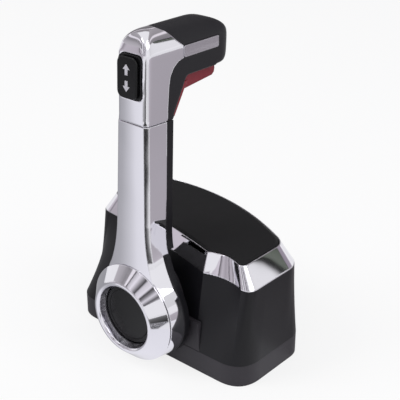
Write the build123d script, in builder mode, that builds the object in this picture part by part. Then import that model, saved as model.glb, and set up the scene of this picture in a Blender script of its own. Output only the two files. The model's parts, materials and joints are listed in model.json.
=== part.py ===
"""Single-lever boat throttle and shift control for a console top.

The lever turns on a cross shaft through a raked housing.  A gear on the shaft
drives two toothed quadrants, one for the throttle cable and one for the shift
cable.  The handle carries a trim rocker, a neutral lock trigger and, in the
middle of the hub, a button that frees the throttle from the shift.

Frame: X runs fore and aft (ahead is -X), Y runs across (the lever is on the -Y,
port, side), Z is up.  The origin is on the mounting face, under the pivot.
"""
from build123d import *
import os
from math import atan2, cos, pi, radians, sin, sqrt, tan
from types import SimpleNamespace

os.makedirs("parts", exist_ok=True)

# ---------------------------------------------------------------- fits
running = 0.05          # radial clearance of a shaft or spindle in its bore
sliding = 0.3           # gap between pieces that move past each other
seam = 0.2              # joint line between two fixed covers

# ---------------------------------------------------------------- housing
skirt_height = 19.0
skirt_wall = 4.0
floor_thickness = 4.0
cover_wall = 3.0
shoulder_height = 90.0      # lower edge of the bright trim, above the pivot
crown_height = 105.8        # upper edge of the bright trim
rake = 2.0                  # degrees: the top rises towards the bow
trim_wall = 2.2
crown_lip = 0.8             # thickness of the bright trim at its upper edge
roof_thickness = 3.0
panel_rise = 1.2

# ---------------------------------------------------------------- pivot
pivot_height = 48.0
shaft_radius = 8.0
bush_wall = 3.0
bush_flange = 2.5
bush_length = 14.0
pedestal_face = 57.7        # port face of the base, from the middle plane
pedestal_forward = 40.0     # reach of the pivot upright towards the bow
pedestal_aft = 50.0
pedestal_height = 46.0
tower_radius = 30.0
pedestal_wall = 4.0
pedestal_depth = 24.0

# ---------------------------------------------------------------- lever
lean = 2.58                 # degrees: the arm leans in over the housing
hub_radius = 44.3
hub_front = 81.6
hub_back = 68.0
hub_wall = 3.6
web_front = 78.0            # wall inside the hub that is keyed to the shaft
web_thickness = 2.2
plate_radius = 45.0
plate_back = 62.5
lip_radius = 32.0
lip_crest = 95.0
button_radius = 25.8
rim_front = 83.2
rim_radius = 42.6
button_face = 86.4
button_thickness = 1.8
button_travel = 2.0
arm_front = 84.6            # distance of the arm's faces from the pivot plane
arm_crease = 81.2
arm_back = 65.7
rear_cover_back = 59.0      # dark back of the arm, at its root
cover_back_seam = 54.4      # and at the seam
seam_reach = 160.0          # pivot to the seam between arm and handle
arm_wall = 2.8
arm_half_root = 20.6
arm_half_seam = 16.2
chamfer = 3.0

# ---------------------------------------------------------------- handle
grip_half_width = 15.7
grip_top = 282.5
grip_bottom = 241.5
grip_end = 24.0
trigger_travel = 5.0
trigger_half_width = 10.5
switch_height = 248.2
rocker_height = 30.0
rocker_width = 19.0
rocker_swing = 6.0

# ---------------------------------------------------------------- gears
gear_module = 1.5
drive_teeth = 28
quadrant_teeth = 36
gear_width = 8.0
gear_front = 28.0           # port face of the gears, from the middle plane
port_plate = 33.4
starboard_plate = 20.0
plate_thickness = 3.0
spindle_radius = 4.0
centre_distance = gear_module * (drive_teeth + quadrant_teeth) / 2


def finish(builder, name):
    """Labels a finished piece and writes it."""
    builder.part.label = name
    export_step(builder.part, f"parts/{name}.step")
    return builder.part


# ================================================================ housing
foot = SimpleNamespace(forward=96, aft=96, port_forward=-58, port_corner=24, recess=-58,
                       ridge=(50, -58), valley=-58, port_aft=-58, aft_corner=24,
                       quarter=(78, 31), quarter_reach=22, beam=72, bow=(-72, 52), bow_reach=26)
shoulder = SimpleNamespace(forward=93, aft=95, port_forward=-27, port_corner=12, recess=-33,
                           ridge=(48, -49), valley=-43, port_aft=-48, aft_corner=9,
                           quarter=(82, 23), quarter_reach=20, beam=62, bow=(-72, 46), bow_reach=20)
crown = SimpleNamespace(forward=84, aft=82, port_forward=-20, port_corner=10, recess=-27,
                        ridge=(46.5, -41.6), valley=-35.5, port_aft=-40.5, aft_corner=5,
                        quarter=(70, 18.5), quarter_reach=16, beam=54, bow=(-64, 39), bow_reach=17)


def plan_outline(size, inset=0.0):
    """One plan outline of the housing, as a flat face."""
    forward, aft = inset - size.forward, size.aft - inset
    port_forward, port_aft = size.port_forward + inset, size.port_aft + inset
    ridge = (size.ridge[0], size.ridge[1] + inset)
    quarter = (size.quarter[0] - inset * 0.5, size.quarter[1] - inset)
    bow = (size.bow[0] + inset * 0.5, size.bow[1] - inset)
    bow_start = (forward + size.port_corner, port_forward)
    corner_start = (aft - size.aft_corner, port_aft)
    third = (corner_start[0] - ridge[0]) / 3
    valley = size.valley + inset
    with BuildLine() as outline:
        Bezier(bow_start, (-10, size.recess + inset), ridge)
        Bezier(ridge, (ridge[0] + third, valley), (corner_start[0] - third, valley), corner_start)
        Bezier(corner_start, (aft, port_aft), (aft, port_aft + size.aft_corner))
        Line((aft, port_aft + size.aft_corner), (aft, quarter[1] - size.quarter_reach))
        Bezier((aft, quarter[1] - size.quarter_reach), (aft, quarter[1] - size.quarter_reach * 0.35), quarter)
        Bezier(quarter, (0, size.beam - inset), bow)
        Bezier(bow, (forward, bow[1]), (forward, bow[1] - size.bow_reach))
        Line((forward, bow[1] - size.bow_reach), (forward, port_forward + size.port_corner))
        Bezier((forward, port_forward + size.port_corner), (forward, port_forward), bow_start)
    return Sketch() + make_face(outline.edges(), mode=Mode.PRIVATE)


def raked(height):
    """A plane across the housing that rises towards the bow."""
    slope = radians(rake)
    return Plane(origin=(0, 0, height), x_dir=(cos(slope), 0, -sin(slope)), z_dir=(sin(slope), 0, cos(slope)))


def pedestal_profile(grow=0.0):
    """Upright of the base that carries the pivot, seen along the shaft."""
    with BuildSketch() as profile:
        with BuildLine():
            Polyline((-pedestal_forward - 2 - grow, 0), (-pedestal_forward - grow, pedestal_height + grow),
                     (pedestal_aft + grow, pedestal_height + grow), (pedestal_aft + 2 + grow, 0),
                     (-pedestal_forward - 2 - grow, 0))
        make_face()
        with Locations((0, pivot_height)):
            Circle(tower_radius + grow)
    return profile.sketch


def across(y):
    """A plane that faces port, at y; its own axes are X and Z."""
    return Plane(origin=(0, y, 0), x_dir=(1, 0, 0), z_dir=(0, -1, 0))


def shaft_plane(y, x=0.0):
    """A plane that faces port, with its origin on an axis at the pivot's height."""
    return Plane(origin=(x, y, pivot_height), x_dir=(1, 0, 0), z_dir=(0, -1, 0))


mount_spacing_x = 148.0
mount_spacing_y = 52.0
mount_centre = (0.0, -6.0)
mount_hole_radius = 2.8
cable_holes = [(-68.0, -7.0), (68.0, -7.0)]
cable_hole_radius = 9.0
wiring_hole = (0.0, 32.0)
wiring_hole_radius = 10.0
gasket_inset = 1.4
gasket_width = 2.4
gasket_thickness = 1.2
post_radius = 5.5
post_joint = skirt_height
post_top = 40.0
end_post_inset = 8.2
post_places = [(foot.aft - end_post_inset, -14.0), (end_post_inset - foot.forward, 8.0),
               (-30.0, 48.5), (44.0, 37.5)]
cover_screw_radius = 2.0

with BuildPart() as base_frame:
    with BuildSketch():
        add(plan_outline(foot))
    extrude(amount=skirt_height)
    with BuildSketch(Plane.XY.offset(floor_thickness)):
        add(plan_outline(foot, skirt_wall))
    extrude(amount=skirt_height, mode=Mode.SUBTRACT)
    with BuildSketch(across(-pedestal_face)):
        add(pedestal_profile())
    extrude(amount=-pedestal_depth)
    with BuildSketch(across(-pedestal_face + pedestal_wall)):
        add(pedestal_profile(-pedestal_wall))
    extrude(amount=-pedestal_depth, mode=Mode.SUBTRACT)
    with BuildSketch(across(-pedestal_face)):
        with Locations((0, pivot_height)):
            Circle(shaft_radius + bush_wall + 5)
    extrude(amount=-bush_length)
    with BuildSketch(across(-pedestal_face)):
        with Locations((0, pivot_height)):
            Circle(shaft_radius + bush_wall)
    extrude(amount=-bush_length, mode=Mode.SUBTRACT)
    with BuildSketch():
        add(plan_outline(foot))
    extrude(amount=floor_thickness)
    with BuildSketch(Plane.XY.offset(floor_thickness)):
        with Locations(*post_places):
            Circle(post_radius)
    extrude(amount=post_joint - floor_thickness)
    with BuildSketch():
        with Locations(*cable_holes):
            Circle(cable_hole_radius)
        with Locations(wiring_hole):
            Circle(wiring_hole_radius)
        with Locations(mount_centre):
            with GridLocations(mount_spacing_x, mount_spacing_y, 2, 2):
                Circle(mount_hole_radius)
    extrude(amount=floor_thickness, mode=Mode.SUBTRACT)
    with BuildSketch():
        add(plan_outline(foot, gasket_inset))
        add(plan_outline(foot, gasket_inset + gasket_width), mode=Mode.SUBTRACT)
    extrude(amount=gasket_thickness, mode=Mode.SUBTRACT)
    with Locations(*[Location((x, y, 0), (180, 0, 0)) for x, y in post_places]):
        CounterBoreHole(cover_screw_radius, 2 * cover_screw_radius, floor_thickness - 1, post_joint)
finish(base_frame, "base_frame")

with BuildPart() as base_gasket:
    with BuildSketch():
        add(plan_outline(foot, gasket_inset))
        add(plan_outline(foot, gasket_inset + gasket_width), mode=Mode.SUBTRACT)
    extrude(amount=gasket_thickness)
finish(base_gasket, "base_gasket")

with BuildPart() as housing_cover:
    with BuildSketch(Plane.XY.offset(skirt_height)):
        add(plan_outline(foot))
    with BuildSketch(raked(shoulder_height)):
        add(plan_outline(shoulder))
    loft(ruled=True)
    with BuildSketch(raked(shoulder_height)):
        add(plan_outline(shoulder, trim_wall + seam))
    with BuildSketch(raked(crown_height - roof_thickness)):
        add(plan_outline(crown, trim_wall + seam))
    loft(ruled=True)
    with BuildSketch(Plane.XY.offset(skirt_height)):
        add(plan_outline(foot, cover_wall))
    with BuildSketch(raked(shoulder_height)):
        add(plan_outline(shoulder, cover_wall + trim_wall))
    loft(ruled=True, mode=Mode.SUBTRACT)
    with BuildSketch(raked(shoulder_height)):
        add(plan_outline(shoulder, cover_wall + trim_wall))
    with BuildSketch(raked(crown_height - 2 * roof_thickness)):
        add(plan_outline(crown, cover_wall + trim_wall))
    loft(ruled=True, mode=Mode.SUBTRACT)
    with BuildSketch(Plane.XY.offset(post_joint)):
        with Locations(*post_places):
            Circle(post_radius)
    extrude(amount=post_top - post_joint)
    with Locations(*[Location((x, y, post_joint), (180, 0, 0)) for x, y in post_places]):
        Hole(cover_screw_radius, 16)
    with BuildSketch(across(-100)):
        add(pedestal_profile(seam))
    extrude(amount=-(100 - pedestal_face + pedestal_depth + 2), mode=Mode.SUBTRACT)
finish(housing_cover, "housing_cover")

with BuildPart() as trim_band:
    with BuildSketch(raked(shoulder_height)):
        add(plan_outline(shoulder))
    with BuildSketch(raked(crown_height)):
        add(plan_outline(crown))
    loft(ruled=True)
    with BuildSketch(raked(shoulder_height)):
        add(plan_outline(shoulder, trim_wall))
    with BuildSketch(raked(crown_height)):
        add(plan_outline(crown, crown_lip))
    loft(ruled=True, mode=Mode.SUBTRACT)
finish(trim_band, "trim_band")

panel_gap = 0.5
panel_bevel = 2.0
with BuildPart() as top_panel:
    for rise, inset in ((-roof_thickness, panel_gap), (0, panel_gap), (panel_rise, panel_gap + panel_bevel)):
        with BuildSketch(raked(crown_height + rise)):
            add(plan_outline(crown, crown_lip + inset))
    loft(ruled=True)
finish(top_panel, "top_panel")

with BuildPart() as cover_screws:
    with Locations(*[(x, y, 0) for x, y in post_places]):
        Cylinder(2 * cover_screw_radius, floor_thickness - 1.4, align=(Align.CENTER, Align.CENTER, Align.MIN))
    with Locations(*[(x, y, floor_thickness - 1.4) for x, y in post_places]):
        Cylinder(cover_screw_radius - 0.1, post_joint + 10, align=(Align.CENTER, Align.CENTER, Align.MIN))
finish(cover_screws, "cover_screws")

# ================================================================ gear frame
plate_half_length = 62.0
plate_height = 60.0
plate_tower = 20.0
plate_tower_height = 78.0
tie_radius = 3.5
tie_places = [(-56.0, 12.0), (56.0, 12.0), (-16.0, 72.0), (16.0, 72.0)]
plate_foot = 9.0
plate_screw_radius = 2.1


def gear_plate(y, foot_side, shaft_hole):
    """One side plate of the gear frame, with a foot turned out along the floor."""
    with BuildPart() as plate:
        with BuildSketch(across(y)):
            with BuildLine():
                Polyline((-plate_half_length, floor_thickness), (-plate_half_length, plate_height - 14),
                         (-plate_tower - 8, plate_height), (-plate_tower, plate_tower_height),
                         (plate_tower, plate_tower_height), (plate_tower + 8, plate_height),
                         (plate_half_length, plate_height - 14), (plate_half_length, floor_thickness),
                         (-plate_half_length, floor_thickness))
            make_face()
            with Locations((0, pivot_height)):
                Circle(shaft_hole, mode=Mode.SUBTRACT)
            with Locations((-centre_distance, pivot_height), (centre_distance, pivot_height)):
                Circle(spindle_radius, mode=Mode.SUBTRACT)
            with Locations(*tie_places):
                Circle(tie_radius - 1, mode=Mode.SUBTRACT)
        extrude(amount=-plate_thickness)
        far = y + plate_thickness if foot_side > 0 else y
        with BuildSketch(Plane.XY.offset(floor_thickness)):
            with Locations((0, far + foot_side * plate_foot / 2)):
                Rectangle(50, plate_foot)
            with Locations((-18, far + foot_side * plate_foot / 2), (18, far + foot_side * plate_foot / 2)):
                Circle(plate_screw_radius, mode=Mode.SUBTRACT)
        extrude(amount=plate_thickness)
    return plate


port_gear_plate = gear_plate(-port_plate, 1, shaft_radius + 1)
finish(port_gear_plate, "port_gear_plate")
starboard_gear_plate = gear_plate(starboard_plate, 1, shaft_radius + bush_wall)
finish(starboard_gear_plate, "starboard_gear_plate")

with BuildPart() as tie_rods:
    with BuildSketch(across(-port_plate + plate_thickness)):
        with Locations(*tie_places):
            Circle(tie_radius)
    extrude(amount=-(port_plate + starboard_plate - plate_thickness))
    with BuildSketch(across(-port_plate)):
        with Locations(*tie_places):
            Circle(tie_radius - 1)
    extrude(amount=-(port_plate + starboard_plate + plate_thickness + 3))
finish(tie_rods, "tie_rods")

with BuildPart() as plate_screws:
    for y in (-port_plate + plate_thickness + plate_foot / 2, starboard_plate + plate_thickness + plate_foot / 2):
        with Locations((-18, y, floor_thickness), (18, y, floor_thickness)):
            Cylinder(plate_screw_radius, plate_thickness, align=(Align.CENTER, Align.CENTER, Align.MIN))
        with Locations((-18, y, floor_thickness + plate_thickness), (18, y, floor_thickness + plate_thickness)):
            Cylinder(1.9 * plate_screw_radius, 2.2, align=(Align.CENTER, Align.CENTER, Align.MIN))
finish(plate_screws, "plate_screws")


def turned(name, steps, x=0.0):
    """A turned piece on an axis that runs across; steps are (start y, end y, radius, bore)."""
    with BuildPart() as piece:
        for start, end, radius, bore in steps:
            with BuildSketch(shaft_plane(start, x)):
                Circle(radius)
                if bore:
                    Circle(bore, mode=Mode.SUBTRACT)
            extrude(amount=start - end)
    finish(piece, name)
    return piece


shaft_bore = shaft_radius + running
port_bush_start = -pedestal_face - bush_flange
turned("port_bush", [(port_bush_start, -pedestal_face, shaft_radius + 5, shaft_bore),
                     (-pedestal_face, -pedestal_face + bush_length, shaft_radius + bush_wall, shaft_bore)])
starboard_bush_end = starboard_plate + plate_thickness + bush_flange
turned("starboard_bush", [(starboard_plate - 4, starboard_plate + plate_thickness, shaft_radius + bush_wall, shaft_bore),
                          (starboard_plate + plate_thickness, starboard_bush_end, shaft_radius + 6, shaft_bore)])

shaft_end = starboard_bush_end + 4
nut_front = 81.4
stud_front = 81.8
stud_radius = 6.0
turned("pivot_shaft", [(-stud_front, -web_front, stud_radius, 0),
                       (-web_front, shaft_end - 2.6, shaft_radius, 0),
                       (shaft_end - 2.6, shaft_end - 1.4, shaft_radius - 1, 0),
                       (shaft_end - 1.4, shaft_end, shaft_radius, 0)])
turned("shaft_clip", [(shaft_end - 2.6, shaft_end - 1.4, shaft_radius + 3, shaft_radius - 1)])

with BuildPart() as shaft_nut:
    with BuildSketch(across(-nut_front)):
        with Locations((0, pivot_height)):
            RegularPolygon(11, 6)
            Circle(stud_radius, mode=Mode.SUBTRACT)
    extrude(amount=-(nut_front - web_front))
finish(shaft_nut, "shaft_nut")

# ================================================================ gears
pressure_angle = radians(20)
backlash = 0.25


def gear_outline(teeth, first, last, phase):
    """Closed outline of a spur gear; teeth from first to last are cut, the rest is left at the root."""
    pitch_radius = gear_module * teeth / 2
    base_radius = pitch_radius * cos(pressure_angle)
    tip_radius = pitch_radius + gear_module
    root_radius = pitch_radius - 1.25 * gear_module
    half_at_pitch = (pi * gear_module / 2 - backlash) / (2 * pitch_radius)
    involute = lambda a: tan(a) - a
    flank_radii = [max(base_radius, root_radius), pitch_radius, pitch_radius + gear_module / 2, tip_radius]
    half_angles = []
    for r in flank_radii:
        slope = 0.0 if r <= base_radius else atan2(sqrt(r * r - base_radius ** 2), base_radius)
        half_angles.append(half_at_pitch + involute(pressure_angle) - involute(slope))
    points = []
    for tooth in range(first, last + 1):
        middle = phase + 2 * pi * tooth / teeth
        start = half_angles[0] + 0.02
        points.append((root_radius, middle - start))
        points += [(r, middle - half) for r, half in zip(flank_radii, half_angles)]
        points += [(r, middle + half) for r, half in reversed(list(zip(flank_radii, half_angles)))]
        points.append((root_radius, middle + start))
    return [(r * cos(a), r * sin(a)) for r, a in points]


drive_root = gear_module * drive_teeth / 2 - 1.25 * gear_module
quadrant_root = gear_module * quadrant_teeth / 2 - 1.25 * gear_module

with BuildPart() as drive_gear:
    with BuildSketch(shaft_plane(-gear_front)):
        with BuildLine():
            Polyline(*gear_outline(drive_teeth, 0, drive_teeth - 1, 0.0), close=True)
        make_face()
        Circle(shaft_radius, mode=Mode.SUBTRACT)
    extrude(amount=-gear_width)
    with BuildSketch(shaft_plane(-gear_front + gear_width)):
        Circle(shaft_radius + 4)
        Circle(shaft_radius, mode=Mode.SUBTRACT)
    extrude(amount=-4)
finish(drive_gear, "drive_gear")

crank_front = 15.0
crank_thickness = 4.0
crank_length = 24.0
crank_pin_radius = 2.5
quadrant_hub = 9.0
sector_teeth = 17


def quadrant(side, name):
    """Toothed quadrant that meshes with the drive gear on one side of the shaft."""
    centre = side * centre_distance
    facing = 0.0 if side < 0 else pi
    spread = sector_teeth // 2
    phase = facing + pi / quadrant_teeth
    teeth = gear_outline(quadrant_teeth, -spread - 1, spread, phase)
    with BuildPart() as piece:
        with BuildSketch(shaft_plane(-gear_front, centre)):
            with BuildLine():
                Polyline((0, 0), *teeth, (0, 0))
            make_face()
            Circle(quadrant_hub)
            Circle(spindle_radius + running, mode=Mode.SUBTRACT)
        extrude(amount=-gear_width)
        with BuildSketch(shaft_plane(-gear_front + gear_width, centre)):
            Circle(quadrant_hub)
            Circle(spindle_radius + running, mode=Mode.SUBTRACT)
        extrude(amount=-(gear_front - gear_width - crank_front))
    finish(piece, name)
    return piece


quadrant(1, "throttle_quadrant")
quadrant(-1, "shift_quadrant")


def crank(side, name):
    """Crank that the quadrant turns, with a hole for the cable's pin at its end."""
    centre = side * centre_distance
    with BuildPart() as piece:
        with BuildSketch(shaft_plane(-crank_front, centre)):
            with BuildLine():
                Polyline((0, -quadrant_hub), (side * crank_length, -6), (side * crank_length, 6), (0, quadrant_hub),
                         (0, -quadrant_hub))
            make_face()
            Circle(quadrant_hub)
            with Locations((side * crank_length, 0)):
                Circle(6)
                Circle(crank_pin_radius, mode=Mode.SUBTRACT)
            Circle(spindle_radius + running, mode=Mode.SUBTRACT)
        extrude(amount=-crank_thickness)
    finish(piece, name)
    return piece


crank(1, "throttle_crank")
crank(-1, "shift_crank")


def crank_pin(side, name):
    """Headed pin in the crank's end, where a cable's rod hooks on."""
    x = side * (centre_distance + crank_length)
    turned(name, [(-crank_front - 1.6, -crank_front, crank_pin_radius + 1.5, 0),
                  (-crank_front, -crank_front + crank_thickness + 9, crank_pin_radius, 0)], x)


crank_pin(1, "throttle_crank_pin")
crank_pin(-1, "shift_crank_pin")

with BuildPart() as spindles:
    for x in (-centre_distance, centre_distance):
        with BuildSketch(shaft_plane(-port_plate, x)):
            Circle(spindle_radius)
        extrude(amount=-(port_plate + starboard_plate + plate_thickness))
finish(spindles, "spindles")

# ================================================================ detent and switch
wheel_front = 6.0
wheel_width = 5.0
wheel_radius = 18.0
ball_radius = 3.0
detent_angles = (-40.0, 0.0, 40.0)
detent_depth = 1.4

with BuildPart() as detent_wheel:
    with BuildSketch(shaft_plane(-wheel_front)):
        Circle(wheel_radius)
        Circle(shaft_radius, mode=Mode.SUBTRACT)
        for angle in detent_angles:
            reach = wheel_radius + ball_radius - detent_depth
            with Locations((reach * sin(radians(angle)), reach * cos(radians(angle)))):
                Circle(ball_radius, mode=Mode.SUBTRACT)
    extrude(amount=-wheel_width)
finish(detent_wheel, "detent_wheel")

ball_height = pivot_height + wheel_radius + sliding + ball_radius
ball_y = -wheel_front + wheel_width / 2
bar_bottom = pivot_height + wheel_radius + 1.2
bar_top = bar_bottom + 14

with BuildPart() as detent_bar:
    with BuildSketch(across(ball_y - 5)):
        with Locations((0, (bar_bottom + bar_top) / 2)):
            RectangleRounded(42, bar_top - bar_bottom, 2)
        with Locations((-16, 72), (16, 72)):
            Circle(tie_radius, mode=Mode.SUBTRACT)
    extrude(amount=-10)
    with BuildSketch(Plane(origin=(0, ball_y, bar_bottom))):
        Circle(ball_radius + running)
    extrude(amount=bar_top - bar_bottom, mode=Mode.SUBTRACT)
finish(detent_bar, "detent_bar")

with BuildPart() as detent_ball:
    with Locations((0, ball_y, ball_height)):
        Sphere(ball_radius)
finish(detent_ball, "detent_ball")

with BuildPart() as detent_screw:
    with Locations((0, ball_y, bar_top - 3)):
        Cylinder(ball_radius, 5, align=(Align.CENTER, Align.CENTER, Align.MIN))
    with BuildSketch(Plane(origin=(0, ball_y, bar_top + 2))):
        RegularPolygon(1.4, 6)
    extrude(amount=-2, mode=Mode.SUBTRACT)
finish(detent_screw, "detent_screw")


def coil(name, centre, direction, bottom, top, radius, wire, turns):
    """Round-wire spring between bottom and top, measured along its axis from centre."""
    height = top - bottom - 2 * wire
    start = Vector(centre) + Vector(direction) * (bottom + wire)
    with BuildPart() as spring:
        with BuildLine():
            path = Helix(height / turns, height, radius, center=start, direction=direction)
        with BuildSketch(Plane(origin=path @ 0, z_dir=path % 0)):
            RegularPolygon(wire, 6)
        sweep(is_frenet=True)
    finish(spring, name)
    return spring


spring_start = ball_height + ball_radius + 0.05
coil("detent_spring", (0, ball_y, 0), (0, 0, 1), spring_start, bar_top - 3.1, 2.0, 0.45, 3)

cam_start = 4.0
cam_width = 5.0
cam_radius = 12.0
cam_flat = 10.6
with BuildPart() as neutral_cam:
    with BuildSketch(shaft_plane(cam_start)):
        Circle(cam_radius)
        with Locations((0, -cam_radius - cam_flat)):
            Rectangle(14, 2 * cam_radius, mode=Mode.SUBTRACT)
        Circle(shaft_radius, mode=Mode.SUBTRACT)
    extrude(amount=-cam_width)
finish(neutral_cam, "neutral_cam")

roller_radius = 2.4
roller_height = pivot_height - cam_radius - sliding - roller_radius
switch_bottom = 14.0
switch_top = 25.0
with BuildPart() as neutral_switch:
    with BuildSketch(across(cam_start + 1)):
        with Locations((0, (switch_bottom + switch_top) / 2)):
            RectangleRounded(22, switch_top - switch_bottom, 1)
    extrude(amount=-(starboard_plate - cam_start - 1))
    with BuildSketch(across(cam_start + 1)):
        with BuildLine():
            Polyline((-9.5, switch_top), (-9.5, switch_top + 2), (-1, roller_height + 0.6), (0.6, roller_height - 0.7),
                     (-7.8, switch_top + 1), (-7.8, switch_top), (-9.5, switch_top))
        make_face()
        with Locations((0, roller_height)):
            Circle(roller_radius)
    extrude(amount=-cam_width + 1.5)
finish(neutral_switch, "neutral_switch")

clamp_length = 17.0
clamp_width = 20.0
clamp_height = 8.0
cable_bore = 5.5
clamp_screw_radius = 1.6
with BuildPart() as cable_clamps:
    for x, y in cable_holes:
        with BuildSketch(Plane.XY.offset(floor_thickness)):
            with Locations((x, y)):
                RectangleRounded(clamp_length, clamp_width + 8, 3)
                Circle(cable_bore, mode=Mode.SUBTRACT)
                with Locations((0, -cable_hole_radius - 2.2), (0, cable_hole_radius + 2.2)):
                    Circle(clamp_screw_radius, mode=Mode.SUBTRACT)
        extrude(amount=clamp_height)
finish(cable_clamps, "cable_clamps")

with BuildPart() as clamp_screws:
    for x, y in cable_holes:
        for side in (-1, 1):
            with Locations((x, y + side * (cable_hole_radius + 2.2), floor_thickness)):
                Cylinder(clamp_screw_radius, clamp_height, align=(Align.CENTER, Align.CENTER, Align.MIN))
            with Locations((x, y + side * (cable_hole_radius + 2.2), floor_thickness + clamp_height)):
                Cylinder(1.8 * clamp_screw_radius, 1.6, align=(Align.CENTER, Align.CENTER, Align.MIN))
finish(clamp_screws, "clamp_screws")

gate_front = 73.4
gate_thickness = 4.8
gate_radius = 27.0
gate_sleeve = 14.0
notch_width = 7.0
notch_depth = 4.0
with BuildPart() as neutral_gate:
    with BuildSketch(shaft_plane(-gate_front)):
        Circle(gate_radius)
        with Locations((0, gate_radius)):
            Rectangle(notch_width, 2 * notch_depth, mode=Mode.SUBTRACT)
        Circle(shaft_radius + sliding, mode=Mode.SUBTRACT)
    extrude(amount=-gate_thickness)
    with BuildSketch(shaft_plane(-gate_front + gate_thickness)):
        Circle(gate_sleeve)
        Circle(shaft_radius + 5, mode=Mode.SUBTRACT)
    extrude(amount=-(gate_front - gate_thickness - pedestal_face))
finish(neutral_gate, "neutral_gate")

# ================================================================ lever arm
tilt = radians(lean)
arm_plane_axes = dict(x_dir=(1, 0, 0), z_dir=(0, -cos(tilt), sin(tilt)))


def arm_plane(offset):
    """Plane along the arm, facing port; its own axes are X and the way up the arm."""
    return Plane(origin=(0, -offset * cos(tilt), pivot_height + offset * sin(tilt)), **arm_plane_axes)


def arm_section(reach):
    """Plane across the arm; its own axes are X and the way to starboard."""
    return Plane(origin=(0, reach * sin(tilt), pivot_height + reach * cos(tilt)), x_dir=(1, 0, 0),
                 z_dir=(0, sin(tilt), cos(tilt)))


# Side view of the lever: the first number runs to port, the second up the arm.
arm_side = Plane(origin=(0, 0, pivot_height), x_dir=(0, -cos(tilt), sin(tilt)), z_dir=(-1, 0, 0))
# Side view upright: the first number runs to starboard, the second up.
upright_side = Plane(origin=(0, 0, 0), x_dir=(0, 1, 0), z_dir=(1, 0, 0))

flare_reach = 78.0
plate_reach = 55.0
back_swell = 3.8
swell_reach = 60.0


def arm_outline(half_hub, half_root, half_seam, inset=0.0):
    """Outline of the arm seen from port: a flare that rises out of the hub."""
    a, b, c = half_hub - inset, half_root - inset, half_seam - inset
    with BuildLine() as outline:
        Bezier((a, 0), (a, 0.33 * flare_reach), (b + 1.5, 0.4 * flare_reach), (b, flare_reach))
        Line((b, flare_reach), (c, seam_reach))
        Line((c, seam_reach), (-c, seam_reach))
        Line((-c, seam_reach), (-b, flare_reach))
        Bezier((-b, flare_reach), (-b - 1.5, 0.4 * flare_reach), (-a, 0.33 * flare_reach), (-a, 0))
        Line((-a, 0), (a, 0))
    return Sketch() + make_face(outline.edges(), mode=Mode.PRIVATE)


seam_back = arm_back - back_swell
cavity_reach = 42.0
with BuildPart() as arm_cavity:
    with BuildSketch(arm_plane(seam_back - 1)):
        add(arm_outline(44, arm_half_root, arm_half_seam, arm_wall))
    with BuildSketch(arm_plane(arm_front - arm_wall - 1)):
        add(arm_outline(36, 17.8, arm_half_seam, arm_wall))
    loft(ruled=True)
    split(bisect_by=arm_section(cavity_reach), keep=Keep.TOP)

with BuildPart() as arm_shell:
    with BuildSketch(arm_plane(seam_back)):
        add(arm_outline(44, arm_half_root, arm_half_seam))
    with BuildSketch(arm_plane(arm_crease)):
        add(arm_outline(36, 17.8, arm_half_seam))
    loft(ruled=True)
    with BuildSketch(arm_plane(arm_crease)):
        add(arm_outline(36, 17.8, arm_half_seam))
    with BuildSketch(arm_plane(arm_front)):
        add(arm_outline(33, 17.8 - chamfer, arm_half_seam - chamfer))
    loft(ruled=True)
    with BuildSketch(arm_side):
        with BuildLine():
            Polyline((seam_back - 9, -10), (arm_back, -10), (arm_back, swell_reach), (seam_back, seam_reach),
                     (seam_back - 9, seam_reach + 5), (seam_back - 9, -10))
        make_face()
    extrude(amount=60, both=True, mode=Mode.SUBTRACT)
    with BuildSketch(across(-hub_back)):
        Rectangle(120, 2 * (pivot_height + plate_reach))
    extrude(amount=-20, mode=Mode.SUBTRACT)
    with BuildSketch(shaft_plane(-hub_back)):
        Circle(hub_radius)
    with BuildSketch(shaft_plane(-hub_front)):
        Circle(rim_radius)
    loft(ruled=True)
    with BuildSketch(shaft_plane(-lip_crest)):
        Circle(rim_radius + seam)
    extrude(amount=-(lip_crest - hub_front), mode=Mode.SUBTRACT)
    with BuildSketch(shaft_plane(-hub_front)):
        Circle(hub_radius - hub_wall)
    extrude(amount=-(hub_front - web_front), mode=Mode.SUBTRACT)
    with BuildSketch(shaft_plane(-web_front + web_thickness)):
        Circle(hub_radius - hub_wall)
        Circle(shaft_radius + 5, mode=Mode.SUBTRACT)
    extrude(amount=-(web_front - web_thickness - hub_back), mode=Mode.SUBTRACT)
    add(arm_cavity.part, mode=Mode.SUBTRACT)
    with BuildSketch(arm_plane(hub_back - 6)):
        with Locations((0, 38)):
            Rectangle(24, 16)
    extrude(amount=15, mode=Mode.SUBTRACT)
    with BuildSketch(shaft_plane(-web_front + web_thickness + 2.2)):
        Circle(shaft_radius + 6)
    extrude(amount=-10, mode=Mode.SUBTRACT)
    with BuildSketch(across(-hub_front)):
        with Locations((0, pivot_height)):
            Circle(shaft_radius)
    extrude(amount=-30, mode=Mode.SUBTRACT)
finish(arm_shell, "arm_shell")

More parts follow.
